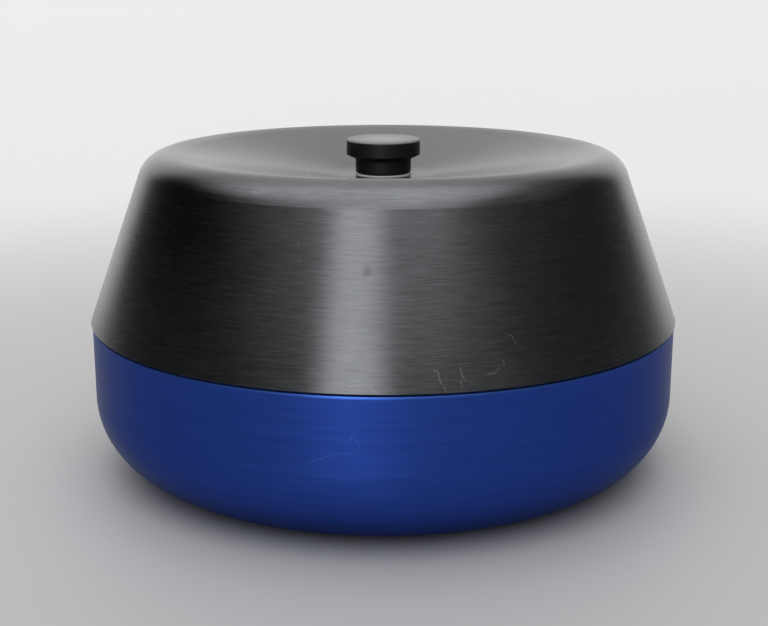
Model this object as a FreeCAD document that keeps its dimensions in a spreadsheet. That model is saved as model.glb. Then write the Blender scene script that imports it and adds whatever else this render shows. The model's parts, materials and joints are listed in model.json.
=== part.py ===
import FreeCAD, Part
import math
import os
import re

import Sketcher

# Large fixed-angle centrifuge rotor in its closed canister: a blue bowl, a black cover held by a
# knob, and inside them a one-piece body with slanted pockets for one-litre bottles.
# Lengths are millimetres and angles are degrees. Z is the spin axis, and z = 0 is the flat base.

SIZES = {
    # bowl
    "bowl_radius": 239,
    "bowl_height": 122.7,
    "bowl_wall": 5,
    "bowl_floor": 7,
    "bowl_foot_round": 62.5,
    "bowl_hole_radius": 75,
    "rim_width": 13,
    "rim_depth": 12,
    "rim_chamfer": 1.3,
    # cover
    "cover_overhang": 1,
    "cover_edge": 0.85,
    "cover_angle": 20,
    "cover_height": 257.5,
    "cover_wall": 5,
    "shoulder_round": 25.2,
    "crest_flat": 0.27,
    "crest_round": 86,
    "dish_angle": 9.352,
    "dish_pad_margin": 10,
    "dish_pad_round": 60,
    "boss_radius": 30,
    "boss_depth": 14.7,
    "flange_depth": 10,
    "spigot_width": 2.5,
    "spigot_depth": 5,
    "spigot_clearance": 0.5,
    "gasket_width": 4,
    "gasket_depth": 3,
    "gasket_inset": 9.5,
    "seal_side_gap": 0.2,
    # slanted pockets
    "pocket_count": 6,
    "pocket_angle": 20,
    "pocket_radius": 49.75,
    "pocket_depth": 140,
    "pocket_foot_round": 10,
    "pocket_floor_height": 37,
    "mouth_flare": 2,
    "pod_wall": 6,
    "pod_floor": 8,
    "pod_foot_round": 16,
    "pod_bowl_gap": 7.88,
    "rib_thickness": 10,
    # body between the pockets
    "deck_thickness": 12,
    "deck_inset": 51,
    "deck_rim_width": 7,
    "deck_rim_depth": 22,
    "column_radius": 50,
    "column_round": 8,
    "core_foot_inset": 26.5,
    "core_foot_thickness": 16,
    "pilot_depth": 5,
    "pilot_clearance": 0.1,
    # drive hub below the body
    "hub_flange_radius": 56,
    "hub_flange_thickness": 10,
    "hub_recess": 6,
    "hub_radius": 30,
    "hub_height": 68,
    "spindle_radius": 16,
    "spindle_depth": 38,
    "spindle_chamfer": 1.5,
    "nose_radius": 11,
    "nose_depth": 20,
    "drive_pin_radius": 3,
    "drive_pin_circle": 24,
    "drive_pin_count": 2,
    "drive_pin_stand": 5,
    "drive_pin_seat": 8,
    "seat_clearance": 0.05,
    # tie-down screw
    "tie_shank_radius": 6,
    "tie_shank_gap": 0.4,
    "tie_head_radius": 13.5,
    "tie_head_height": 18,
    "tie_socket_flats": 14,
    "tie_socket_depth": 11,
    "tie_washer_radius": 14,
    "tie_washer_thickness": 2,
    "tie_reach": 29,
    "clip_thickness": 1.2,
    "clip_stand": 3,
    "clip_groove_depth": 1.2,
    "clip_gap": 0.4,
    "well_radius": 17,
    # post that the knob screws into
    "post_wall": 7,
    "post_top_gap": 6,
    "post_flange_radius": 37,
    "post_flange_thickness": 9,
    "post_tail_radius": 20,
    "post_tail_depth": 32,
    "post_chamfer": 1.5,
    # knob and what turns with it
    "knob_neck_radius": 22.6,
    "knob_neck_height": 11.7,
    "knob_neck_round": 2.4,
    "knob_head_radius": 29.9,
    "knob_slope_height": 3.5,
    "knob_head_height": 12.9,
    "knob_edge_round": 2.2,
    "knob_dish_radius": 23,
    "knob_dish_depth": 0.8,
    "knob_socket_radius": 10,
    "knob_socket_depth": 16,
    "journal_radius": 16,
    "journal_gap": 0.08,
    "thread_step": 1.4,
    "thread_gap": 0.4,
    "thread_engagement": 20,
    "thread_chamfer": 2,
    "bush_wall": 3,
    "washer_radius": 23,
    "washer_thickness": 1,
    "washer_bore_gap": 0.4,
    "stem_seal_section": 2.4,
    "stem_seal_height": 7,
    # screws, seals and the disc below
    "screw_radius": 2.5,
    "screw_head_radius": 4.25,
    "screw_head_height": 5,
    "screw_socket_flats": 4,
    "screw_socket_depth": 2.6,
    "screw_sink": 0.3,
    "screw_hole_gap": 0.05,
    "screw_head_gap": 0.3,
    "screw_length": 20,
    "screw_count": 6,
    "hub_screw_circle": 42,
    "post_screw_circle": 29,
    "floor_screw_radius": 3,
    "floor_screw_head_radius": 6,
    "floor_screw_length": 18,
    "floor_screw_circle": 102,
    "floor_screw_count": 12,
    "base_seal_inset": 10,
    "base_seal_width": 4,
    "base_seal_depth": 3,
    "post_seal_radius": 23,
    "post_seal_width": 2.6,
    "post_seal_depth": 2,
    "disc_thickness": 0.4,
    "disc_inner_gap": 2,
    "disc_outer_gap": 2.5,
}

# Sizes that follow from the driving ones, in the same sheet.
DERIVED = {
    "cover_lip_radius": "bowl_radius + cover_overhang",
    "cover_slope": "tan(cover_angle)",
    "cover_corner_radius": "cover_lip_radius - (cover_height - bowl_height - cover_edge) * cover_slope",
    "cover_wall_across": "cover_wall / cos(cover_angle)",
    "shoulder_reach": "shoulder_round * tan((90 - cover_angle) / 2)",
    "crest_reach": "crest_round * tan(dish_angle / 2)",
    "crest_radius": "cover_corner_radius - shoulder_reach - crest_flat - crest_reach",
    "dish_pad_radius": "boss_radius + dish_pad_margin",
    "dish_height": "cover_height - (crest_radius - dish_pad_radius) * tan(dish_angle)",
    "boss_height": "dish_height - boss_depth",
    "rim_inner_radius": "bowl_radius - rim_width",
    "spigot_radius": "rim_inner_radius - spigot_clearance",
    "flange_inner_radius": "spigot_radius - spigot_width",
    "gasket_inner_radius": "bowl_radius - gasket_inset",
    "pocket_slope": "tan(pocket_angle)",
    "pod_radius": "pocket_radius + pod_wall",
    "pod_foot_across": "(pod_radius - pod_foot_round) * cos(pocket_angle)",
    "pod_foot_along": "(pod_foot_round - pod_floor) * sin(pocket_angle)",
    "pod_reach": "bowl_radius - bowl_wall - pod_bowl_gap - pod_foot_round",
    "pocket_floor_reach": "pod_reach - pod_foot_across + pod_foot_along",
    "mouth_reach": "pocket_floor_reach - pocket_depth * sin(pocket_angle)",
    "mouth_height": "pocket_floor_height + pocket_depth * cos(pocket_angle)",
    "deck_radius": "bowl_radius - deck_inset",
    "deck_edge_height": "mouth_height + (deck_radius - mouth_reach) * pocket_slope",
    "deck_rim_radius": "deck_radius - deck_rim_width",
    "column_height": "mouth_height + (column_radius - mouth_reach) * pocket_slope",
    "core_foot_radius": "bowl_radius - bowl_foot_round - core_foot_inset",
    "pilot_height": "bowl_floor - pilot_depth",
    "pilot_radius": "bowl_hole_radius - pilot_clearance",
    "hub_flange_height": "pilot_height + hub_recess",
    "hub_seat_height": "hub_flange_height + hub_flange_thickness",
    "hub_top_height": "hub_flange_height + hub_height",
    "spindle_top_height": "hub_flange_height + spindle_depth",
    "nose_top_height": "spindle_top_height + nose_depth",
    "tie_head_foot": "hub_top_height + tie_washer_thickness",
    "tie_foot_height": "tie_head_foot - tie_reach",
    "hub_screw_seat": "hub_flange_height + screw_head_height + screw_sink",
    "thread_radius": "journal_radius - thread_step",
    "post_bore_radius": "thread_radius + thread_gap",
    "post_radius": "post_bore_radius + post_wall",
    "post_foot_height": "column_height - post_tail_depth",
    "post_top_height": "boss_height - post_top_gap",
    "post_flange_top": "column_height + post_flange_thickness",
    "post_screw_seat": "post_flange_top - screw_head_height - screw_sink",
    "washer_top_height": "dish_height + washer_thickness",
    "knob_slope_foot": "washer_top_height + knob_neck_height",
    "knob_head_foot": "knob_slope_foot + knob_slope_height",
    "knob_top_height": "knob_head_foot + knob_head_height",
    "knob_socket_top": "washer_top_height + knob_socket_depth",
    "bush_radius": "journal_radius + journal_gap + bush_wall",
    "thread_foot_height": "post_top_height - thread_engagement",
    "knob_clip_radius": "journal_radius + clip_stand",
    "knob_clip_top": "boss_height - clip_gap",
    "stem_seal_foot": "boss_height + stem_seal_height",
    "tie_clip_radius": "tie_shank_radius + clip_stand",
    "tie_clip_top": "nose_top_height - clip_gap",
    "base_seal_radius": "bowl_hole_radius + base_seal_inset",
}

EXPRESSION_WORDS = {"sin", "cos", "tan", "sqrt"}

doc = FreeCAD.newDocument("rotor")


def bound(text):
    """Write a plain expression with each size's name pointing at its cell."""
    def cell(match):
        word = match.group(0)
        return word if word in EXPRESSION_WORDS else "Sizes." + word
    return re.sub(r"[a-z][a-z_]*", cell, text)


def fill_sheet():
    """Put every size in the sheet, the driving ones as plain numbers."""
    sheet = doc.addObject("Spreadsheet::Sheet", "Sizes")
    rows = list(SIZES.items()) + [(name, "=" + text) for name, text in DERIVED.items()]
    for row, (name, content) in enumerate(rows, 1):
        sheet.set(f"A{row}", name)
        sheet.set(f"B{row}", str(content))
        sheet.setAlias(f"B{row}", name)
    doc.recompute()
    return sheet


def value(text):
    """The present value of an expression of sizes."""
    return float(sheet.evalExpression(bound(text)))


def new_body(name):
    """A body for one sub-part."""
    body = doc.addObject("PartDesign::Body", name)
    body.Label = name
    body.AllowCompound = True
    body.Placement = FreeCAD.Placement()
    return body


def origin_feature(body, role):
    """One of the body's own origin planes or axes."""
    return next(item for item in body.Origin.OriginFeatures if item.Role == role)


def new_sketch(body, name, plane):
    """An empty sketch on one of the body's own origin planes."""
    sketch = body.newObject("Sketcher::SketchObject", name)
    sketch.AttachmentSupport = (origin_feature(body, plane), [""])
    sketch.MapMode = "FlatFace"
    return sketch


def place_point(sketch, geometry, end, across, up):
    """Tie a point of the sketch to a distance across and up from the origin."""
    for kind, text in (("DistanceX", across), ("DistanceY", up)):
        number = value(text)
        row = sketch.addConstraint(Sketcher.Constraint(kind, -1, 1, geometry, end, number))
        sketch.setExpression(f"Constraints[{row}]", bound(text))


def rounded_corner(before, corner, after, radius):
    """The arc that rounds a corner, as (tangent point, centre, tangent point, turn)."""
    back = (before - corner).normalize()
    ahead = (after - corner).normalize()
    half = back.getAngle(ahead) / 2
    reach = radius / math.tan(half)
    middle = (back + ahead).normalize()
    centre = corner + middle * (radius / math.sin(half))
    turn = back.cross(ahead).z
    return corner + back * reach, centre, corner + ahead * reach, turn


def draw_outline(sketch, corners):
    """Draw a closed outline through corners of (across, up) or (across, up, round)."""
    points = [FreeCAD.Vector(value(c[0]), value(c[1]), 0) for c in corners]
    count = len(points)
    arcs = {}
    for i, corner in enumerate(corners):
        if len(corner) == 3:
            before, after = points[i - 1], points[(i + 1) % count]
            arcs[i] = rounded_corner(before, points[i], after, value(corner[2]))
    for i in range(count):
        j = (i + 1) % count
        start = arcs[i][2] if i in arcs else points[i]
        end = arcs[j][0] if j in arcs else points[j]
        sketch.addGeometry(Part.LineSegment(start, end), False)
    for i, corner in enumerate(corners):
        incoming, outgoing = (i - 1) % count, i
        if i in arcs:
            round_off(sketch, incoming, outgoing, arcs[i], corner)
        else:
            sketch.addConstraint(Sketcher.Constraint("Coincident", incoming, 2, outgoing, 1))
            place_point(sketch, outgoing, 1, corner[0], corner[1])


def round_off(sketch, incoming, outgoing, arc_points, corner):
    """Join two lines by a tangent arc and hold their common corner in place."""
    start, centre, end, turn = arc_points
    radius = value(corner[2])
    circle = Part.Circle(centre, FreeCAD.Vector(0, 0, 1), radius)
    first, last = (end, start) if turn > 0 else (start, end)
    angles = [math.atan2(p.y - centre.y, p.x - centre.x) for p in (first, last)]
    arc = sketch.addGeometry(Part.ArcOfCircle(circle, angles[0], angles[1]), False)
    start_end, end_end = (2, 1) if turn > 0 else (1, 2)
    sketch.addConstraint(Sketcher.Constraint("Tangent", incoming, 2, arc, start_end))
    sketch.addConstraint(Sketcher.Constraint("Tangent", outgoing, 1, arc, end_end))
    row = sketch.addConstraint(Sketcher.Constraint("Radius", arc, radius))
    sketch.setExpression(f"Constraints[{row}]", bound(corner[2]))
    place = FreeCAD.Vector(value(corner[0]), value(corner[1]), 0)
    point = sketch.addGeometry(Part.Point(place), True)
    sketch.addConstraint(Sketcher.Constraint("PointOnObject", point, 1, incoming))
    sketch.addConstraint(Sketcher.Constraint("PointOnObject", point, 1, outgoing))
    place_point(sketch, point, 1, corner[0], corner[1])


def draw_axis(sketch, start, end):
    """Draw a construction line to turn a profile about."""
    ends = [FreeCAD.Vector(value(p[0]), value(p[1]), 0) for p in (start, end)]
    line = sketch.addGeometry(Part.LineSegment(*ends), True)
    place_point(sketch, line, 1, *start)
    place_point(sketch, line, 2, *end)


def turn_outline(body, name, corners, kind="Revolution", axis=None):
    """Turn an outline about the spin axis, or about a line of its own, to add or to cut."""
    sketch = new_sketch(body, name + "_outline", "XZ_Plane")
    draw_outline(sketch, corners)
    if axis:
        draw_axis(sketch, *axis)
    feature = body.newObject("PartDesign::" + kind, name)
    feature.Profile = sketch
    feature.ReferenceAxis = (sketch, ["Axis0" if axis else "V_Axis"])
    feature.Angle = 360
    body.Tip = feature
    doc.recompute()
    return feature


def repeat_round(body, name, features, count):
    """Repeat features of a body about the spin axis."""
    pattern = body.newObject("PartDesign::PolarPattern", name)
    pattern.Originals = features
    pattern.Axis = (origin_feature(body, "Z_Axis"), [""])
    pattern.Angle = 360
    pattern.setExpression("Occurrences", bound(count))
    body.Tip = pattern
    doc.recompute()
    return pattern


def cut_hexagon(body, name, across, height, flats, depth, upward):
    """Cut a hexagon socket into a head, downward or upward from its face at the given height."""
    sketch = new_sketch(body, name + "_outline", "XY_Plane")
    sketch.setExpression("AttachmentOffset.Base.z", bound(height))
    centre = FreeCAD.Vector(value(across), 0, 0)
    radius = value(flats) / math.sqrt(3)
    normal = FreeCAD.Vector(0, 0, 1)
    circle = sketch.addGeometry(Part.Circle(centre, normal, radius), True)
    place_point(sketch, circle, 3, across, "0")
    row = sketch.addConstraint(Sketcher.Constraint("Radius", circle, radius))
    sketch.setExpression(f"Constraints[{row}]", bound(f"({flats}) / sqrt(3)"))
    tips = [centre + FreeCAD.Vector(radius * math.cos(turn), radius * math.sin(turn), 0)
            for turn in (math.pi / 3 * side for side in range(6))]
    lines = [sketch.addGeometry(Part.LineSegment(tips[i], tips[(i + 1) % 6]), False)
             for i in range(6)]
    for i, line in enumerate(lines):
        sketch.addConstraint(Sketcher.Constraint("Coincident", line, 2, lines[(i + 1) % 6], 1))
        sketch.addConstraint(Sketcher.Constraint("PointOnObject", line, 1, circle))
        if i:
            sketch.addConstraint(Sketcher.Constraint("Equal", lines[0], line))
    sketch.addConstraint(Sketcher.Constraint("Horizontal", lines[1]))
    pocket = body.newObject("PartDesign::Pocket", name)
    pocket.Profile = sketch
    pocket.setExpression("Length", bound(depth))
    pocket.Reversed = upward
    body.Tip = pocket
    doc.recompute()
    return pocket


def slanted(across, along):
    """A point beside a pocket's axis: across it, outwards, and along it from the pocket's floor."""
    reach = f"pocket_floor_reach + ({across}) * cos(pocket_angle) - ({along}) * sin(pocket_angle)"
    height = f"pocket_floor_height + ({across}) * sin(pocket_angle) + ({along}) * cos(pocket_angle)"
    return reach, height


def ring(name, inner, outer, foot, top):
    """A plain ring of rectangular section, such as a washer."""
    body = new_body(name)
    turn_outline(body, name + "_ring", [(inner, foot), (outer, foot), (outer, top), (inner, top)])
    return body


def seal(name, inner, width, foot, depth):
    """A seal ring pressed flat between its groove and the face it closes."""
    body = new_body(name)
    corner = f"({width}) / 5"
    low, high = f"{inner} + seal_side_gap", f"{inner} + {width} - seal_side_gap"
    top = f"{foot} + {depth}"
    turn_outline(body, name + "_ring", [
        (low, f"{foot} + {corner}"),
        (f"{low} + {corner}", foot),
        (f"{high} - {corner}", foot),
        (high, f"{foot} + {corner}"),
        (high, f"{top} - {corner}"),
        (f"{high} - {corner}", top),
        (f"{low} + {corner}", top),
        (low, f"{top} - {corner}"),
    ])
    return body


def screw_axis(circle):
    """The line that a screw on the given circle turns about."""
    return ((circle, "0"), (circle, "10"))


def cap_screw_corners(circle, seat, up, gap, head_gap, sink):
    """Outline of a cap screw's half; up is +1 where the head is above the face it bears on."""
    def level(distance):
        return f"{seat} + ({up}) * ({distance})"
    edge = f"{circle} + screw_radius + {gap}"
    head_edge = f"{circle} + screw_head_radius + {head_gap}"
    return [
        (circle, level(f"-screw_length + screw_head_height - {gap}")),
        (edge, level(f"-screw_length + screw_head_height - {gap}")),
        (edge, seat),
        (head_edge, seat),
        (head_edge, level(f"screw_head_height + {sink}")),
        (circle, level(f"screw_head_height + {sink}")),
    ]


def cap_screws(name, circle, seat, up):
    """A circle of socket-head screws."""
    body = new_body(name)
    corners = cap_screw_corners(circle, seat, up, "0", "0", "0")
    screw = turn_outline(body, name + "_turned", corners, axis=screw_axis(circle))
    face = f"{seat} + {up} * screw_head_height"
    socket = cut_hexagon(body, name + "_socket", circle, face,
                         "screw_socket_flats", "screw_socket_depth", up < 0)
    repeat_round(body, name + "_circle", [screw, socket], "screw_count")
    return body


def cut_cap_screw_holes(body, name, circle, seat, up):
    """The stepped holes of a circle of socket-head screws."""
    corners = cap_screw_corners(circle, seat, up, "screw_hole_gap", "screw_head_gap", "screw_sink")
    hole = turn_outline(body, name, corners, "Groove", screw_axis(circle))
    repeat_round(body, name + "_circle", [hole], "screw_count")


def floor_screw_corners(gap, sink):
    """Outline of a countersunk screw's half, below the bowl's floor."""
    edge = f"floor_screw_circle + floor_screw_radius + {gap}"
    head_edge = f"floor_screw_circle + floor_screw_head_radius + {gap}"
    head_slope = "(floor_screw_head_radius - floor_screw_radius)"
    return [
        ("floor_screw_circle", sink),
        (head_edge, sink),
        (head_edge, "2 * screw_sink"),
        (edge, f"2 * screw_sink + {head_slope}"),
        (edge, f"floor_screw_length + {gap}"),
        ("floor_screw_circle", f"floor_screw_length + {gap}"),
    ]


def make_floor_screws():
    """The circle of countersunk screws that hold the bowl to the body."""
    body = new_body("floor_screws")
    corners = floor_screw_corners("0", "screw_sink")
    screw = turn_outline(body, "floor_screw_turned", corners,
                         axis=screw_axis("floor_screw_circle"))
    socket = cut_hexagon(body, "floor_screw_socket", "floor_screw_circle", "screw_sink",
                         "screw_socket_flats", "screw_socket_depth", True)
    repeat_round(body, "floor_screw_circle_pattern", [screw, socket], "floor_screw_count")
    return body


def cut_floor_screw_holes(body, name):
    """The countersunk holes of the screws that hold the bowl to the body."""
    corners = floor_screw_corners("screw_hole_gap", "-1")
    hole = turn_outline(body, name, corners, "Groove", screw_axis("floor_screw_circle"))
    repeat_round(body, name + "_circle", [hole], "floor_screw_count")


def make_bowl():
    """The spun bowl, with a thick turned rim and a central hole for the drive."""
    body = new_body("bowl")
    inner_wall = "bowl_radius - bowl_wall"
    turn_outline(body, "bowl_shell", [
        ("bowl_hole_radius", "0"),
        ("bowl_radius", "0", "bowl_foot_round"),
        ("bowl_radius", "bowl_height - rim_chamfer"),
        ("bowl_radius - rim_chamfer", "bowl_height"),
        ("rim_inner_radius", "bowl_height"),
        ("rim_inner_radius", "bowl_height - rim_depth"),
        (inner_wall, "bowl_height - rim_depth - (rim_width - bowl_wall)"),
        (inner_wall, "bowl_floor", "bowl_foot_round - bowl_wall"),
        ("bowl_hole_radius", "bowl_floor"),
    ])
    cut_floor_screw_holes(body, "bowl_screw_hole")
    return body


def make_core():
    """The one-piece body: foot, column and deck, with slanted pockets in pods of their own."""
    body = new_body("rotor_core")
    recess = "hub_flange_radius + pilot_clearance"
    turn_outline(body, "core_turned", [
        (recess, "pilot_height"),
        ("pilot_radius", "pilot_height"),
        ("pilot_radius", "bowl_floor"),
        ("core_foot_radius", "bowl_floor"),
        ("core_foot_radius", "bowl_floor + core_foot_thickness"),
        ("column_radius", "bowl_floor + core_foot_thickness", "column_round"),
        ("column_radius", "column_height - deck_thickness", "column_round"),
        ("deck_rim_radius", "deck_edge_height - deck_thickness - deck_rim_width * pocket_slope"),
        ("deck_rim_radius", "deck_edge_height - deck_rim_depth"),
        ("deck_radius", "deck_edge_height - deck_rim_depth"),
        ("deck_radius", "deck_edge_height", "deck_rim_width / 3"),
        ("column_radius", "column_height", "column_round"),
        ("post_tail_radius + seat_clearance", "column_height"),
        ("post_tail_radius + seat_clearance", "post_foot_height"),
        ("well_radius", "post_foot_height"),
        ("well_radius", "hub_top_height"),
        ("hub_radius + seat_clearance", "hub_top_height"),
        ("hub_radius + seat_clearance", "hub_seat_height"),
        (recess, "hub_seat_height"),
    ])
    pod = make_pod(body)
    rib = make_rib(body)
    repeat_round(body, "pods", [pod, rib], "pocket_count")
    pocket = cut_pocket(body)
    repeat_round(body, "pockets", [pocket], "pocket_count")
    cut_core_details(body)
    return body


def make_pod(body):
    """The wall round one pocket, turned about the pocket's own axis."""
    foot = "-pod_floor"
    top = "pocket_depth - deck_thickness / 2"
    return turn_outline(body, "pod", [
        slanted("0", foot),
        slanted("pod_radius", foot) + ("pod_foot_round",),
        slanted("pod_radius", top),
        slanted("0", top),
    ], axis=(slanted("0", "0"), slanted("0", "10")))


def make_rib(body):
    """The upright web between the column and one pod."""
    sketch = new_sketch(body, "rib_outline", "XZ_Plane")
    inside = "column_radius - rib_thickness"
    sunk = "(hub_seat_height + bowl_floor + core_foot_thickness) / 2"
    draw_outline(sketch, [
        (inside, sunk),
        ("core_foot_radius - rib_thickness", sunk),
        slanted("0", "0"),
        slanted("0", "pocket_depth - deck_thickness"),
        (inside, "column_height - deck_thickness"),
    ])
    rib = body.newObject("PartDesign::Pad", "rib")
    rib.Profile = sketch
    rib.Midplane = True
    rib.setExpression("Length", bound("rib_thickness"))
    body.Tip = rib
    doc.recompute()
    return rib


def cut_pocket(body):
    """One bottle pocket with a rounded foot and a flared mouth."""
    mouth = "pocket_depth - mouth_flare"
    past = "pocket_depth + deck_thickness"
    return turn_outline(body, "pocket", [
        slanted("0", "0"),
        slanted("pocket_radius", "0") + ("pocket_foot_round",),
        slanted("pocket_radius", mouth),
        slanted("pocket_radius + mouth_flare + deck_thickness", past),
        slanted("0", past),
    ], "Groove", (slanted("0", "0"), slanted("0", "10")))


def cut_core_details(body):
    """Screw holes and seal grooves of the body."""
    cut_seal_groove(body, "base_seal_groove", "base_seal_radius", "base_seal_width",
                    "bowl_floor", "bowl_floor + base_seal_depth")
    cut_seal_groove(body, "post_seal_groove", "post_seal_radius", "post_seal_width",
                    "column_height - post_seal_depth", "column_height")
    cut_floor_screw_holes(body, "core_floor_hole")
    cut_cap_screw_holes(body, "core_hub_hole", "hub_screw_circle", "hub_screw_seat", -1)
    cut_cap_screw_holes(body, "core_post_hole", "post_screw_circle", "post_screw_seat", 1)


def make_drive_hub():
    """The steel hub that takes the machine's spindle, its nose and the tie-down screw."""
    body = new_body("drive_hub")
    tie_hole = "tie_shank_radius + tie_shank_gap"
    turn_outline(body, "drive_hub_turned", [
        ("spindle_radius + spindle_chamfer", "hub_flange_height"),
        ("hub_flange_radius", "hub_flange_height"),
        ("hub_flange_radius", "hub_seat_height"),
        ("hub_radius", "hub_seat_height"),
        ("hub_radius", "hub_top_height"),
        (tie_hole, "hub_top_height"),
        (tie_hole, "nose_top_height"),
        ("nose_radius", "nose_top_height"),
        ("nose_radius", "spindle_top_height"),
        ("spindle_radius", "spindle_top_height"),
        ("spindle_radius", "hub_flange_height + spindle_chamfer"),
    ])
    cut_cap_screw_holes(body, "hub_screw_hole", "hub_screw_circle", "hub_screw_seat", -1)
    hole = turn_outline(body, "drive_pin_hole", drive_pin_corners("screw_hole_gap"), "Groove",
                        screw_axis("drive_pin_circle"))
    repeat_round(body, "drive_pin_holes", [hole], "drive_pin_count")
    return body


def drive_pin_corners(gap):
    """Outline of a drive pin's half, or of its hole with a gap."""
    edge = f"drive_pin_circle + drive_pin_radius + {gap}"
    foot = "hub_flange_height - drive_pin_stand"
    top = "hub_flange_height + drive_pin_seat"
    return [
        ("drive_pin_circle", foot),
        (edge, foot, "drive_pin_radius / 3"),
        (edge, top),
        ("drive_pin_circle", top),
    ]


def make_drive_pins():
    """The pins below the hub that turn the rotor with the spindle."""
    body = new_body("drive_pins")
    pin = turn_outline(body, "drive_pin", drive_pin_corners("0"),
                       axis=screw_axis("drive_pin_circle"))
    repeat_round(body, "drive_pin_pair", [pin], "drive_pin_count")
    return body


def make_cover_post():
    """The threaded post that the knob screws into, flanged on the body's column."""
    body = new_body("cover_post")
    turn_outline(body, "cover_post_turned", [
        ("post_bore_radius", "post_foot_height"),
        ("post_tail_radius", "post_foot_height"),
        ("post_tail_radius", "column_height"),
        ("post_flange_radius", "column_height"),
        ("post_flange_radius", "post_flange_top", "post_chamfer"),
        ("post_radius", "post_flange_top", "post_chamfer"),
        ("post_radius", "post_top_height - post_chamfer"),
        ("post_radius - post_chamfer", "post_top_height"),
        ("post_bore_radius + post_chamfer", "post_top_height"),
        ("post_bore_radius", "post_top_height - post_chamfer"),
    ])
    cut_cap_screw_holes(body, "post_screw_hole", "post_screw_circle", "post_screw_seat", 1)
    return body


def make_tie_down_screw():
    """The captive screw that draws the rotor down on its spindle."""
    body = new_body("tie_down_screw")
    head_top = "tie_head_foot + tie_head_height"
    groove = "tie_shank_radius - clip_groove_depth"
    turn_outline(body, "tie_down_turned", [
        ("0", "tie_foot_height"),
        ("tie_shank_radius - clip_groove_depth", "tie_foot_height"),
        ("tie_shank_radius", "tie_foot_height + clip_groove_depth"),
        ("tie_shank_radius", "tie_clip_top - clip_thickness"),
        (groove, "tie_clip_top - clip_thickness"),
        (groove, "tie_clip_top"),
        ("tie_shank_radius", "tie_clip_top"),
        ("tie_shank_radius", "tie_head_foot"),
        ("tie_head_radius", "tie_head_foot"),
        ("tie_head_radius", head_top, "tie_head_radius / 9"),
        ("0", head_top),
    ])
    cut_hexagon(body, "tie_down_socket", "0", head_top, "tie_socket_flats",
                "tie_socket_depth", False)
    return body


def retaining_clip(name, inner, outer, top):
    """A split ring that sits in a shaft's groove."""
    body = ring(name, inner, outer, f"{top} - clip_thickness", top)
    sketch = new_sketch(body, name + "_gap", "XY_Plane")
    half = "clip_thickness"
    draw_outline(sketch, [("0", f"-{half}"), (f"2 * ({outer})", f"-{half}"),
                          (f"2 * ({outer})", half), ("0", half)])
    slot = body.newObject("PartDesign::Pocket", name + "_slot")
    slot.Profile = sketch
    slot.Type = "ThroughAll"
    slot.Midplane = True
    body.Tip = slot
    doc.recompute()
    return body


def make_cover():
    """The turned cover: seat, spigot, cone, rounded crest, shallow dish and boss."""
    body = new_body("cover")
    under = "cover_height - cover_wall"
    inner_corner = "cover_corner_radius - cover_wall_across + cover_wall * cover_slope"
    flange_corner = "cover_lip_radius - cover_wall_across - (flange_depth - cover_edge) * cover_slope"
    gasket_outer = "gasket_inner_radius + gasket_width"
    gasket_top = "bowl_height + gasket_depth"
    turn_outline(body, "cover_shell", [
        ("cover_lip_radius - cover_edge", "bowl_height"),
        ("cover_lip_radius", "bowl_height + cover_edge"),
        ("cover_corner_radius", "cover_height", "shoulder_round"),
        ("crest_radius", "cover_height", "crest_round"),
        ("dish_pad_radius", "dish_height", "dish_pad_round"),
        ("bush_radius", "dish_height"),
        ("bush_radius", "boss_height"),
        ("boss_radius", "boss_height"),
        ("boss_radius", "dish_height - cover_wall", "cover_wall / 2"),
        ("dish_pad_radius", "dish_height - cover_wall", "dish_pad_round + cover_wall"),
        ("crest_radius", under, "crest_round - cover_wall"),
        (inner_corner, under, "shoulder_round - cover_wall"),
        (flange_corner, "bowl_height + flange_depth", "cover_wall / 2"),
        ("flange_inner_radius", "bowl_height + flange_depth"),
        ("flange_inner_radius", "bowl_height - spigot_depth"),
        ("spigot_radius", "bowl_height - spigot_depth"),
        ("spigot_radius", "bowl_height"),
        ("gasket_inner_radius", "bowl_height"),
        ("gasket_inner_radius", gasket_top),
        (gasket_outer, gasket_top),
        (gasket_outer, "bowl_height"),
    ])
    return body


def make_knob():
    """The turned knob, with a neck, an undercut and a head whose top is slightly dished."""
    body = new_body("knob")
    dish = "knob_top_height - knob_dish_depth"
    turn_outline(body, "knob_turned", [
        ("knob_socket_radius", "washer_top_height"),
        ("knob_neck_radius", "washer_top_height", "knob_neck_round"),
        ("knob_neck_radius", "knob_slope_foot", "knob_neck_round"),
        ("knob_head_radius", "knob_head_foot"),
        ("knob_head_radius", "knob_top_height", "knob_edge_round"),
        ("knob_dish_radius", "knob_top_height", "knob_dish_radius"),
        ("knob_dish_radius / 3", dish, "knob_dish_radius"),
        ("0", dish),
        ("0", "knob_socket_top"),
        ("knob_socket_radius", "knob_socket_top"),
    ])
    return body


def make_knob_stud():
    """The steel stud in the knob: spigot, journal with its grooves, and threaded end."""
    body = new_body("knob_stud")
    groove = "journal_radius - clip_groove_depth"
    clip_foot = "knob_clip_top - clip_thickness"
    seal_floor = "journal_radius - stem_seal_section"
    seal_top = "stem_seal_foot + stem_seal_section"
    spigot = "knob_socket_radius - seat_clearance"
    turn_outline(body, "knob_stud_turned", [
        ("0", "thread_foot_height"),
        ("thread_radius - thread_chamfer", "thread_foot_height"),
        ("thread_radius", "thread_foot_height + thread_chamfer"),
        ("thread_radius", f"{clip_foot} - clip_thickness"),
        ("journal_radius", f"{clip_foot} - clip_thickness"),
        ("journal_radius", clip_foot),
        (groove, clip_foot),
        (groove, "knob_clip_top"),
        ("journal_radius", "knob_clip_top"),
        ("journal_radius", "stem_seal_foot"),
        (seal_floor, "stem_seal_foot"),
        (seal_floor, seal_top),
        ("journal_radius", seal_top),
        ("journal_radius", "washer_top_height"),
        (spigot, "washer_top_height"),
        (spigot, "knob_socket_top"),
        ("0", "knob_socket_top"),
    ])
    return body


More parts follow.
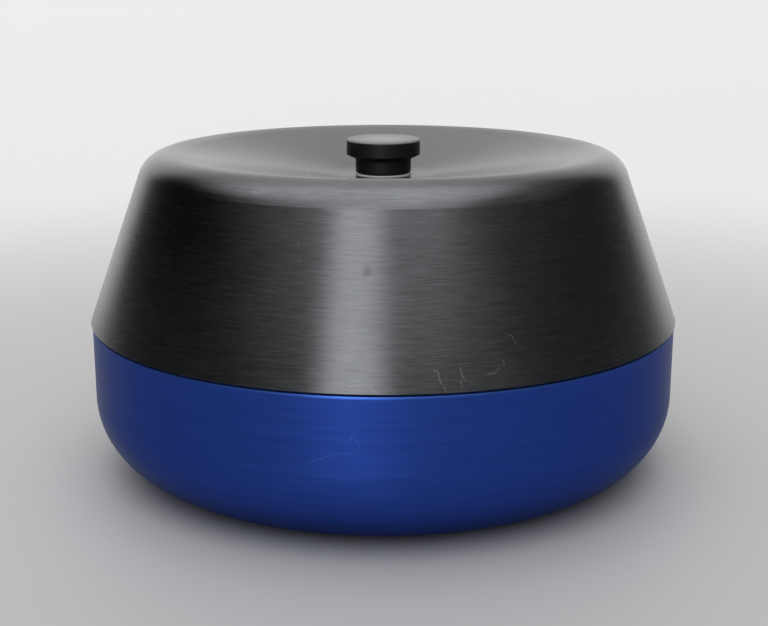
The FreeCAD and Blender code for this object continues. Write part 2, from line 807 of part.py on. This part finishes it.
def cut_seal_groove(body, name, middle, width, foot, top):
    """A square groove for a seal ring."""
    inner, outer = f"{middle} - {width} / 2", f"{middle} + {width} / 2"
    turn_outline(body, name, [(inner, foot), (outer, foot), (outer, top), (inner, top)], "Groove")


def make_rotor():
    """What turns as one with the drive, from the bowl to the post."""
    return [
        make_bowl(),
        make_core(),
        make_drive_hub(),
        make_drive_pins(),
        cap_screws("hub_screws", "hub_screw_circle", "hub_screw_seat", -1),
        make_floor_screws(),
        seal("base_seal", "base_seal_radius - base_seal_width / 2", "base_seal_width",
             "bowl_floor", "base_seal_depth"),
        ring("overspeed_disc", "hub_flange_radius + disc_inner_gap",
             "pilot_radius - disc_outer_gap", "pilot_height - disc_thickness", "pilot_height"),
        make_cover_post(),
        cap_screws("post_screws", "post_screw_circle", "post_screw_seat", 1),
        seal("post_seal", "post_seal_radius - post_seal_width / 2", "post_seal_width",
             "column_height - post_seal_depth", "post_seal_depth"),
    ]


def make_tie_down():
    """The tie-down screw with its washer and its retaining clip."""
    return [
        make_tie_down_screw(),
        ring("tie_down_washer", "tie_shank_radius + tie_shank_gap", "tie_washer_radius",
             "hub_top_height", "tie_head_foot"),
        retaining_clip("tie_down_clip", "tie_shank_radius - clip_groove_depth",
                       "tie_clip_radius", "tie_clip_top"),
    ]


def make_lid():
    """The cover with its gasket and the bearing pieces of its boss."""
    return [
        make_cover(),
        seal("cover_gasket", "gasket_inner_radius", "gasket_width", "bowl_height", "gasket_depth"),
        ring("knob_bush", "journal_radius + journal_gap", "bush_radius",
             "boss_height", "dish_height"),
        ring("thrust_washer", "journal_radius + washer_bore_gap", "washer_radius",
             "dish_height", "washer_top_height"),
    ]


def make_knob_set():
    """The knob with the stud, seal and clip that turn with it."""
    return [
        make_knob(),
        make_knob_stud(),
        seal("stem_seal", "journal_radius - stem_seal_section", "stem_seal_section",
             "stem_seal_foot", "stem_seal_section"),
        retaining_clip("knob_clip", "journal_radius - clip_groove_depth",
                       "knob_clip_radius", "knob_clip_top"),
    ]


def check(parts):
    """Stop if any object failed or any sub-part is empty or not valid."""
    failed = [item.Label for item in doc.Objects if {"Invalid", "Error"} & set(item.State)]
    broken = [part.Label for part in parts
              if part.Shape.isNull() or not part.Shape.isValid() or not part.Shape.Solids]
    if failed or broken:
        raise RuntimeError(f"failed objects {failed}, broken sub-parts {broken}")


def export(parts):
    """Write each sub-part to a file named after it."""
    os.makedirs("parts", exist_ok=True)
    for part in parts:
        part.Shape.exportStep(f"parts/{part.Label}.step")
        print(part.Label, len(part.Shape.Solids), round(part.Shape.Volume))


sheet = fill_sheet()
all_parts = make_rotor() + make_tie_down() + make_lid() + make_knob_set()
doc.recompute()
check(all_parts)
export(all_parts)
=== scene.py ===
import json
import math

import bpy
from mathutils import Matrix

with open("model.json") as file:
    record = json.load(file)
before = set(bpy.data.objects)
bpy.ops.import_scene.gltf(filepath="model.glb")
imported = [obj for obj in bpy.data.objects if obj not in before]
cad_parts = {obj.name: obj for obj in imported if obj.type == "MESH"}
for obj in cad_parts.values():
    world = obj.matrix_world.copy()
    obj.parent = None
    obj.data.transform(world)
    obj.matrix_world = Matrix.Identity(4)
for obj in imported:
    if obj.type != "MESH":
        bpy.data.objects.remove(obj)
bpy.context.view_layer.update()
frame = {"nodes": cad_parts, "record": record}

# Where the photograph was taken from.
CAMERA_PLACE = (0, -1.0841, 0.3941)
CAMERA_TILT = math.radians(75.75)
CAMERA_LENS = 62.34
CAMERA_SHIFT = 0.0009


class Graph:
    """A material's shader, with short calls that add linked nodes."""

    def __init__(self, name):
        self.material = bpy.data.materials.new(name)
        self.material.use_nodes = True
        self.tree = self.material.node_tree
        self.tree.nodes.clear()
        self.shader = self.add("ShaderNodeBsdfPrincipled")
        output = self.add("ShaderNodeOutputMaterial")
        self.tree.links.new(self.shader.outputs[0], output.inputs["Surface"])

    def add(self, kind, inputs=None, **settings):
        """A new node with its settings and inputs."""
        node = self.tree.nodes.new(kind)
        for name, setting in settings.items():
            setattr(node, name, setting)
        for name, source in (inputs or {}).items():
            self.put(source, node.inputs[name])
        return node

    def put(self, source, socket):
        """Link another node's output to a socket, or set the socket's own value."""
        if isinstance(source, bpy.types.NodeSocket):
            self.tree.links.new(source, socket)
        else:
            socket.default_value = source

    def calc(self, operation, *values):
        """The result of one sum or function of numbers."""
        node = self.tree.nodes.new("ShaderNodeMath")
        node.operation = operation
        for value, socket in zip(values, node.inputs):
            self.put(value, socket)
        return node.outputs[0]

    def weigh(self, *parts):
        """The sum of values, each times its share."""
        total = None
        for value, share in parts:
            part = self.calc("MULTIPLY", value, share)
            total = part if total is None else self.calc("ADD", total, part)
        return total

    def noise(self, vector, scale, detail, w=None, roughness=0.5):
        """Soft noise, in four dimensions where w is given."""
        dimensions = "3D" if w is None else "4D"
        node = self.add("ShaderNodeTexNoise", {"Vector": vector}, noise_dimensions=dimensions)
        node.inputs["Scale"].default_value = scale
        node.inputs["Detail"].default_value = detail
        node.inputs["Roughness"].default_value = roughness
        if w is not None:
            self.put(w, node.inputs["W"])
        return node.outputs["Fac"]

    def spread(self, value, low, high, to_low=0.0, to_high=1.0, smooth=False):
        """A value carried from one range to another and held inside it."""
        node = self.add("ShaderNodeMapRange", {"Value": value, "From Min": low, "From Max": high,
                                               "To Min": to_low, "To Max": to_high})
        node.interpolation_type = "SMOOTHSTEP" if smooth else "LINEAR"
        return node.outputs["Result"]

    def mix(self, factor, first, second):
        """A colour between two colours."""
        node = self.tree.nodes.new("ShaderNodeMix")
        node.data_type = "RGBA"
        self.put(factor, node.inputs[0])
        self.put(first, node.inputs[6])
        self.put(second, node.inputs[7])
        return node.outputs[2]

    def radius(self, x, y):
        """Distance from the Z axis."""
        return self.calc("SQRT", self.calc("ADD", self.calc("MULTIPLY", x, x),
                                           self.calc("MULTIPLY", y, y)))

    def vector(self, operation, first, second):
        """The result of one function of two vectors."""
        node = self.add("ShaderNodeVectorMath", {0: first, 1: second}, operation=operation)
        return node.outputs["Vector"]

    def length(self, vector):
        """The length of a vector."""
        return self.add("ShaderNodeVectorMath", {0: vector}, operation="LENGTH").outputs["Value"]

    def dot(self, vector, along):
        """Dot product, held between 0 and 1."""
        node = self.add("ShaderNodeVectorMath", {0: vector, 1: along}, operation="DOT_PRODUCT")
        return self.calc("MINIMUM", self.calc("MAXIMUM", node.outputs["Value"], 0.0), 1.0)

    def place(self):
        """The object's own coordinates, as (vector, x, y, z)."""
        where = self.add("ShaderNodeTexCoord").outputs["Object"]
        parts = self.add("ShaderNodeSeparateXYZ", {"Vector": where})
        return (where,) + tuple(parts.outputs)

    def bump(self, height, strength, distance, over=None):
        """Raise the surface by a height, over another bump if one is given."""
        node = self.add("ShaderNodeBump", {"Height": height, "Strength": strength,
                                           "Distance": distance})
        if over is not None:
            self.put(over, node.inputs["Normal"])
        self.put(node.outputs[0], self.shader.inputs["Normal"])
        return node.outputs[0]

    def finish(self, **settings):
        """The material, with its shader's settings."""
        for name, value in settings.items():
            self.put(value, self.shader.inputs[name.replace("_", " ")])
        return self.material


def rgb(red, green, blue):
    """A colour written in linear light."""
    return (red, green, blue, 1.0)


def grey(tone):
    """An even grey written in linear light."""
    return rgb(tone, tone, tone)


def darker(colour, share):
    """A colour's share in linear light."""
    return rgb(*[part * share for part in colour])


def extent(node, measure):
    """The largest value of a measure over a CAD node's points."""
    return max(measure(vertex.co) for vertex in frame["nodes"][node].data.vertices)


def height_of(point):
    """Height over the base."""
    return point.z


def radius_of(point):
    """Distance from the Z axis."""
    return math.hypot(point.x, point.y)


# The cover's side leans inwards by this much for each metre of height.
COVER_SLOPE = math.tan(math.radians(20))


def side_of(point):
    """Radius at the base of a slanted line through the point, the same all along the side."""
    return radius_of(point) + COVER_SLOPE * point.z


COVER_SIDE = extent("cover", side_of)
BOWL_TOP = extent("bowl", height_of)
BOWL_RADIUS = extent("bowl", radius_of)
KNOB_TOP = extent("knob", height_of)

# Turning rings and marks.
ACROSS_RINGS = 0.25
MARK_RADIUS = 0.235
MILLIMETRE = 0.001
SCRATCH_WANDER_SCALE = 420.0
SCRATCH_WANDER = 0.0016

# Scratches as lines through (degrees round the axis from the front, height in millimetres).
COVER_SCRATCHES = (
    ((8.3, 138.4), (8.9, 137.7), (9.05, 133.3), (9.35, 130.1), (9.8, 127.5), (10.1, 125.0)),
    ((12.75, 138.8), (12.9, 135.0), (13.25, 131.1)),
    ((12.65, 130.6), (12.85, 126.8)),
    ((17.2, 133.7), (18.6, 133.9), (19.05, 135.6), (19.6, 136.7)),
    ((20.2, 141.6), (20.5, 139.5), (20.3, 137.7)),
    ((21.7, 158.1), (22.6, 156.1), (23.0, 152.7), (23.2, 150.1)),
    ((-2.15, 127.8), (-1.5, 125.9), (-1.0, 124.9)),
    ((-8.3, 130.3), (-7.8, 129.7)),
    ((-5.35, 128.2), (-4.1, 129.5)),
    ((-16.0, 207.0), (-15.8, 206.6)),
    ((-16.3, 216.6), (-16.1, 216.8)),
    ((-28.3, 248.6), (-25.2, 248.9)),
    ((-27.6, 247.6), (-26.4, 247.7)),
)
COVER_SPOT = ((-3.1, 200.6), (-2.8, 201.2))
BOWL_SCRATCHES = (
    ((-12.7, 72.2), (-10.0, 77.1), (-7.85, 80.2), (-5.7, 81.2), (-4.1, 82.7)),
    ((-4.1, 82.7), (-3.9, 87.0), (-4.4, 91.0)),
    ((-5.3, 90.5), (-4.9, 96.0)),
)


def lathe_rings(g, pitch, seed, around, detail=3.0):
    """Rings left by the cutting tool: dense across the surface and long around the axis."""
    _, x, y, z = g.place()
    radius = g.radius(x, y)
    safe = g.calc("MAXIMUM", radius, 1e-5)
    along = g.calc("MULTIPLY", g.calc("DIVIDE", x, safe), around)
    across = g.calc("ADD", g.calc("MULTIPLY", g.calc("DIVIDE", y, safe), around), seed)
    vector = g.add("ShaderNodeCombineXYZ", {
        "X": g.calc("DIVIDE", radius, pitch), "Y": g.calc("DIVIDE", z, pitch),
        "Z": along}).outputs[0]
    return g.noise(vector, 1.0, detail, across)


def turned_finish(g, amount):
    """Stretch reflections across the turning rings."""
    tangent = g.add("ShaderNodeTangent", direction_type="RADIAL", axis="Z")
    g.put(tangent.outputs[0], g.shader.inputs["Tangent"])
    g.shader.inputs["Anisotropic"].default_value = amount
    g.shader.inputs["Anisotropic Rotation"].default_value = ACROSS_RINGS


def side_plane(g):
    """A round surface laid out flat, as a vector of (distance round the axis, height)."""
    _, x, y, z = g.place()
    angle = g.calc("ARCTAN2", x, g.calc("MULTIPLY", y, -1.0))
    return g.add("ShaderNodeCombineXYZ", {"X": g.calc("MULTIPLY", angle, MARK_RADIUS),
                                          "Y": z}).outputs[0]


def nearness(g, point, line):
    """Distance from a point of the flat layout to a line through marked places."""
    places = [(math.radians(turn) * MARK_RADIUS, height * MILLIMETRE) for turn, height in line]
    nearest = None
    for (ax, ay), (bx, by) in zip(places, places[1:]):
        step = (bx - ax, by - ay)
        square = step[0] ** 2 + step[1] ** 2
        offset = g.vector("SUBTRACT", point, (ax, ay, 0))
        part = g.dot(offset, (step[0] / square, step[1] / square, 0))
        reach = g.add("ShaderNodeVectorMath", {"Scale": part}, operation="SCALE")
        reach.inputs[0].default_value = (step[0], step[1], 0)
        away = g.vector("SUBTRACT", offset, reach.outputs[0])
        length = g.length(away)
        nearest = length if nearest is None else g.calc("MINIMUM", nearest, length)
    return nearest


def scratched(g, lines, width, outside):
    """1 on the scratches and 0 beside them, on the outside of a wall alone."""
    point = side_plane(g)
    wander = g.noise(point, SCRATCH_WANDER_SCALE, 2.0)
    away = None
    for line in lines:
        one = nearness(g, point, line)
        away = one if away is None else g.calc("MINIMUM", away, one)
    shift = g.calc("MULTIPLY", g.calc("SUBTRACT", wander, 0.5), SCRATCH_WANDER)
    mark = g.spread(g.calc("ADD", away, shift), 0.0, width, 1.0, 0.0, smooth=True)
    return g.calc("MULTIPLY", g.calc("MULTIPLY", mark, g.spread(wander, 0.35, 0.65)), outside)


def ringed_roughness(g, cloud, lines, low, high):
    """Roughness between two values with the clouds, and a little more or less on each ring."""
    return g.calc("ADD", g.spread(cloud, 0.3, 0.7, low, high),
                  g.calc("MULTIPLY", g.calc("SUBTRACT", lines, 0.5), 0.06))


def black_anodised():
    """Black anodised aluminium with fine turning rings, cloudy wear and light scratches."""
    g = Graph("black_anodised")
    where, x, y, z = g.place()
    fine = lathe_rings(g, 0.00048, 1.7, around=13.0, detail=1.5)
    broad = lathe_rings(g, 0.0012, 5.2, around=10.0)
    cloud = g.noise(where, 9.0, 4.0)
    mottle = g.noise(where, 55.0, 5.0, roughness=0.65)
    lines = g.spread(g.weigh((fine, 0.75), (broad, 0.25)), 0.3, 0.7)
    tone = g.weigh((lines, 0.68), (cloud, 0.12), (mottle, 0.2))
    colour = g.mix(tone, rgb(0.044, 0.0455, 0.048), rgb(0.091, 0.0935, 0.098))
    side = g.calc("ADD", g.radius(x, y), g.calc("MULTIPLY", z, COVER_SLOPE))
    outside = g.spread(side, COVER_SIDE - 0.0035, COVER_SIDE - 0.002)
    mark = scratched(g, COVER_SCRATCHES, 0.0009, outside)
    colour = g.mix(g.calc("MULTIPLY", mark, 0.32), colour, rgb(0.30, 0.31, 0.32))
    spot = g.spread(nearness(g, side_plane(g), COVER_SPOT), 0.0005, 0.0044, 1.0, 0.0, smooth=True)
    colour = g.mix(g.calc("MULTIPLY", g.calc("MULTIPLY", spot, outside), 0.5), colour, grey(0.03))
    rough = g.calc("ADD", ringed_roughness(g, cloud, lines, 0.24, 0.29),
                   g.calc("MULTIPLY", mark, 0.2))
    turned_finish(g, 0.6)
    g.bump(g.calc("ADD", fine, broad), strength=0.14, distance=0.0001)
    return g.finish(Base_Color=colour, Roughness=rough, Metallic=1.0)


def matte_black():
    """Black anodised aluminium with a fine blasted side and a turned top painted paler grey as a
    painted sheen, lightest at the centre.
    """
    g = Graph("matte_black")
    where, x, y, z = g.place()
    rings = lathe_rings(g, 0.0006, 4.4, around=3.0)
    speck = g.noise(where, 1500.0, 2.0)
    tone = g.spread(g.weigh((rings, 0.5), (speck, 0.5)), 0.3, 0.7)
    dark = g.mix(tone, rgb(0.002, 0.002, 0.0022), rgb(0.004, 0.004, 0.0043))
    # Painted sheen: the top is painted a paler grey, lightest at the centre, in place of its
    # glossy reflection.
    painted_sheen = g.spread(g.radius(x, y), 0.004, 0.026, 0.30, 0.20, smooth=True)
    even = g.add("ShaderNodeCombineXYZ", {"X": painted_sheen, "Y": painted_sheen, "Z": painted_sheen}).outputs[0]
    pale = g.vector("ADD", g.mix(tone, grey(0.0), grey(0.02)), even)
    top = g.spread(z, KNOB_TOP - 0.0022, KNOB_TOP - 0.0012, smooth=True)
    g.bump(speck, strength=0.15, distance=0.00008)
    return g.finish(Base_Color=g.mix(top, dark, pale),
                    Roughness=g.spread(tone, 0.0, 1.0, 0.5, 0.56), IOR=1.4)


def blue_anodised():
    """Blue anodised aluminium with fine turning rings, light scratches and a rolled rim whose top
    carries a painted highlight.
    """
    g = Graph("blue_anodised")
    where, x, y, z = g.place()
    fine = lathe_rings(g, 0.0007, 3.1, around=9.0, detail=1.0)
    broad = lathe_rings(g, 0.0035, 8.4, around=4.0)
    cloud = g.noise(where, 7.0, 4.0)
    lines = g.spread(g.weigh((fine, 0.5), (broad, 0.5)), 0.3, 0.7)
    tone = g.weigh((lines, 0.75), (cloud, 0.25))
    colour = g.mix(tone, rgb(0.0165, 0.046, 0.243), rgb(0.025, 0.067, 0.362))
    outside = g.spread(g.radius(x, y), BOWL_RADIUS - 0.0025, BOWL_RADIUS - 0.001)
    mark = scratched(g, BOWL_SCRATCHES, 0.0011, outside)
    colour = g.mix(g.calc("MULTIPLY", mark, 0.3), colour, rgb(0.08, 0.19, 0.58))
    turned_finish(g, 0.5)
    # The band at the top of the rim that carries the painted highlight.
    painted_rim_highlight = g.spread(z, BOWL_TOP - 0.0037, BOWL_TOP - 0.0015)
    curl = g.calc("POWER", g.spread(z, BOWL_TOP - 0.0037, BOWL_TOP - 0.0001), 2.0)
    rolled = g.bump(g.calc("MULTIPLY", curl, -1.1), strength=1.0, distance=0.001)
    # Painted highlight: the top of the rim is painted a lighter blue where the rolled edge
    # catches the light.
    colour = g.mix(g.calc("MULTIPLY", painted_rim_highlight, 0.75), colour, rgb(0.045, 0.115, 0.42))
    rings = g.calc("ADD", fine, g.calc("MULTIPLY", broad, 0.8))
    g.bump(rings, strength=0.3, distance=0.00012, over=rolled)
    return g.finish(Base_Color=colour, Roughness=ringed_roughness(g, cloud, lines, 0.37, 0.43),
                    Metallic=1.0, Specular_Tint=grey(0.65))


def steel(name, tone, rough):
    """Turned bare metal."""
    g = Graph(name)
    fine = lathe_rings(g, 0.0006, 2.3, around=1.2)
    cloud = g.noise(g.place()[0], 25.0, 3.0)
    shade = g.spread(g.weigh((fine, 0.7), (cloud, 0.3)), 0.35, 0.65)
    colour = g.mix(shade, darker(tone, 0.85), rgb(*tone))
    turned_finish(g, 0.4)
    g.bump(fine, strength=0.25, distance=0.0001)
    return g.finish(Base_Color=colour, Roughness=g.spread(fine, 0.3, 0.7, rough, rough + 0.08),
                    Metallic=1.0)


def plain_finish(name, tone, rough):
    """A moulded or dipped surface with a fine grain and slight unevenness."""
    g = Graph(name)
    where = g.place()[0]
    speck = g.noise(where, 900.0, 2.0)
    cloud = g.noise(where, 30.0, 3.0)
    colour = g.mix(g.spread(cloud, 0.3, 0.7), darker(tone, 0.85), rgb(*tone))
    g.bump(speck, strength=0.2, distance=0.0001)
    return g.finish(Base_Color=colour, Roughness=g.spread(speck, 0.3, 0.7, rough, rough + 0.1))


MATERIALS = {
    "black_anodised": black_anodised(),
    "blue_anodised": blue_anodised(),
    "grey_anodised": steel("grey_anodised", (0.25, 0.25, 0.255), 0.45),
    "stainless_steel": steel("stainless_steel", (0.27, 0.27, 0.275), 0.3),
    "black_steel": plain_finish("black_steel", (0.04, 0.04, 0.042), 0.4),
    "seal_rubber": plain_finish("seal_rubber", (0.02, 0.02, 0.02), 0.6),
    "bearing_bronze": steel("bearing_bronze", (0.3, 0.19, 0.09), 0.35),
    "pale_plastic": plain_finish("pale_plastic", (0.80, 0.80, 0.81), 0.45),
    "disc_film": plain_finish("disc_film", (0.05, 0.05, 0.055), 0.3),
}
KNOB_FINISH = matte_black()


def dress(piece, material):
    """Give a piece one material."""
    piece.data.materials.clear()
    piece.data.materials.append(material)


def dress_frame():
    """Give every CAD node the material of its slot, and the knob its own matte one."""
    for row in frame["record"]["subparts"]:
        dress(frame["nodes"][row["node"]], MATERIALS[row["material_slot"]])
    dress(frame["nodes"]["knob"], KNOB_FINISH)


# The floor: half its width, its depth under the base, and its painted tones: darker near the
# object as painted shade, and paler far off as painted light.
FLOOR_HALF = 30
FLOOR_DROP = 0.0003
FLOOR_REACH = (0.35, 1.6)
FLOOR_PAINTED_SHADE_AND_LIGHT = (0.46, 0.74)


def make_stage():
    """A pale floor, painted darker near the object as painted shade and paler far off as painted
    light.
    """
    corners = [(side * FLOOR_HALF, end * FLOOR_HALF, -FLOOR_DROP)
               for side, end in ((-1, -1), (1, -1), (1, 1), (-1, 1))]
    mesh = bpy.data.meshes.new("floor")
    mesh.from_pydata(corners, [], [(0, 1, 2, 3)])
    floor = bpy.data.objects.new("floor", mesh)
    bpy.context.scene.collection.objects.link(floor)
    g = Graph("floor_painted_shade_and_light")
    # Painted shade and light: the floor's colour is darker near the object and paler far off.
    painted_shade_to_light = g.spread(g.length(g.place()[0]), *FLOOR_REACH, smooth=True)
    tone = g.mix(painted_shade_to_light, *[grey(tone) for tone in FLOOR_PAINTED_SHADE_AND_LIGHT])
    floor.data.materials.append(g.finish(Base_Color=tone, Roughness=0.65, Metallic=0.2))


class Room(Graph):
    """The studio round the object, as a world shader."""

    def __init__(self):
        world = bpy.data.worlds.new("studio")
        bpy.context.scene.world = world
        world.use_nodes = True
        self.tree = world.node_tree
        self.tree.nodes.clear()

    def ramp(self, value, stops):
        """A smooth run of brightness along a value from 0 to 1."""
        node = self.add("ShaderNodeValToRGB", {"Fac": value})
        node.color_ramp.interpolation = "EASE"
        elements = node.color_ramp.elements
        while len(elements) < len(stops):
            elements.new(0.5)
        for element, (place, tone) in zip(elements, stops):
            element.position = place
            element.color = grey(tone)
        return node.outputs["Color"]

    def profile(self, value, stops):
        """A smooth run of shares along a value."""
        low, high = stops[0][0], stops[-1][0]
        part = self.spread(value, low, high)
        return self.ramp(part, [((place - low) / (high - low), share) for place, share in stops])

    def window(self, value, low, high, soft):
        """1 between two limits and 0 outside them, with soft edges."""
        rise = self.spread(value, low - soft, low + soft, smooth=True)
        fall = self.spread(value, high - soft, high + soft, 1.0, 0.0, smooth=True)
        return self.calc("MULTIPLY", rise, fall)


# Brightness of the studio's walls by direction: degrees from the camera's side, and radiance.
WALLS = (
    (-180, 0.85), (-166, 1.05), (-147, 1.0), (-130, 0.03), (-112, 0.005), (-98, 0.005),
    (-82, 0.01), (-68, 0.03), (-50, 0.04), (-36, 0.12), (-20, 0.20), (6, 0.06), (26, 0.05),
    (43, 0.42), (55, 0.16), (64, 0.13), (95, 0.11), (112, 0.09), (130, 0.12), (147, 1.0),
    (166, 1.05), (180, 0.85))
# Shares of the ceiling's brightness across it, at its left edge and from front to back, by
# distance over height. The box stands askew, so the first two lean with the depth.
CEILING_ACROSS = (
    (-3.0, 0.0), (-2.2, 0.09), (-1.73, 0.18), (-1.34, 0.32), (-1.05, 0.55), (-0.6, 0.85),
    (-0.2, 0.95), (0.1, 1.0), (0.28, 0.94), (0.45, 0.77), (0.62, 0.56), (0.76, 0.29),
    (0.94, 0.15), (1.3, 0.11), (2.2, 0.05), (3.0, 0.0))
CEILING_ACROSS_LEAN = 0.2
CEILING_LEFT = (
    (-2.2, 0.0), (-1.75, 0.08), (-1.5, 0.28), (-1.25, 0.53), (-1.05, 0.74), (-0.85, 0.93),
    (-0.65, 1.0))
CEILING_LEFT_LEAN = -0.5
CEILING_ALONG = (
    (-1.95, 0.0), (-1.6, 0.68), (-1.35, 0.78), (-0.9, 0.84), (-0.4, 0.98), (0.15, 1.0),
    (0.31, 0.78), (0.49, 0.6), (0.65, 0.5), (0.85, 0.44), (1.75, 0.3), (2.6, 0.21))
CEILING_BRIGHTNESS = 4.2
# The front box, in degrees from the camera's side and by the sine of the height.
FRONT_TURN = (math.radians(-23), math.radians(-0.5))
FRONT_TURN_EDGE = 0.10
FRONT_HEIGHT = (-0.05, 0.62)
FRONT_HEIGHT_EDGE = 0.03
FRONT_BRIGHTNESS = 5.0
# The share of the studio's light that falls on matt surfaces, and the white seen behind.
LIGHT_LEVEL = 0.52
BACKDROP_WHITE = 0.84


def ceiling_light(g, across, along):
    """The soft overhead box."""
    skewed = g.calc("ADD", across, g.calc("MULTIPLY", along, CEILING_ACROSS_LEAN))
    leftward = g.calc("ADD", across, g.calc("MULTIPLY", along, CEILING_LEFT_LEAN))
    share = g.calc("MULTIPLY", g.profile(skewed, CEILING_ACROSS), g.profile(along, CEILING_ALONG))
    share = g.calc("MULTIPLY", share, g.profile(leftward, CEILING_LEFT))
    return g.calc("MULTIPLY", share, CEILING_BRIGHTNESS)


def front_light(g, turn, height):
    """The narrow box left of the camera."""
    share = g.calc("MULTIPLY", g.window(turn, *FRONT_TURN, FRONT_TURN_EDGE),
                   g.window(height, *FRONT_HEIGHT, FRONT_HEIGHT_EDGE))
    return g.calc("MULTIPLY", share, FRONT_BRIGHTNESS)


def make_studio():
    """A soft overhead box, a narrow front box and walls that are pale behind and dark beside."""
    g = Room()
    direction = g.add("ShaderNodeTexCoord").outputs["Generated"]
    x, y, z = g.add("ShaderNodeSeparateXYZ", {"Vector": direction}).outputs
    turn = g.calc("ARCTAN2", x, g.calc("MULTIPLY", y, -1.0))
    part = g.calc("ADD", g.calc("DIVIDE", turn, 2 * math.pi), 0.5)
    walls = g.ramp(part, [(degrees / 360 + 0.5, tone) for degrees, tone in WALLS])
    height = g.calc("MAXIMUM", z, 0.01)
    ceiling = ceiling_light(g, g.calc("DIVIDE", x, height), g.calc("DIVIDE", y, height))
    seen = g.calc("MAXIMUM", walls, g.calc("MAXIMUM", ceiling, front_light(g, turn, z)))
    path = g.add("ShaderNodeLightPath").outputs
    mirrored = g.calc("MAXIMUM", path["Is Glossy Ray"], path["Is Transmission Ray"])
    strength = g.calc("MULTIPLY", seen, g.spread(mirrored, 0.0, 1.0, LIGHT_LEVEL, 1.0))
    light = g.add("ShaderNodeBackground", {"Color": grey(1.0), "Strength": strength})
    white = g.add("ShaderNodeBackground", {"Color": grey(1.0), "Strength": BACKDROP_WHITE})
    pick = g.add("ShaderNodeMixShader", {"Fac": path["Is Camera Ray"], 1: light.outputs[0],
                                         2: white.outputs[0]})
    g.add("ShaderNodeOutputWorld", {"Surface": pick.outputs[0]})


def make_camera():
    """The camera at the photograph's place."""
    data = bpy.data.cameras.new("camera")
    data.sensor_width = 36
    data.lens = CAMERA_LENS
    data.shift_x = CAMERA_SHIFT
    camera = bpy.data.objects.new("camera", data)
    camera.location = CAMERA_PLACE
    camera.rotation_euler = (CAMERA_TILT, 0, 0)
    bpy.context.scene.collection.objects.link(camera)
    bpy.context.scene.camera = camera


bpy.context.scene.view_settings.view_transform = "Standard"
dress_frame()
make_stage()
make_studio()
make_camera()
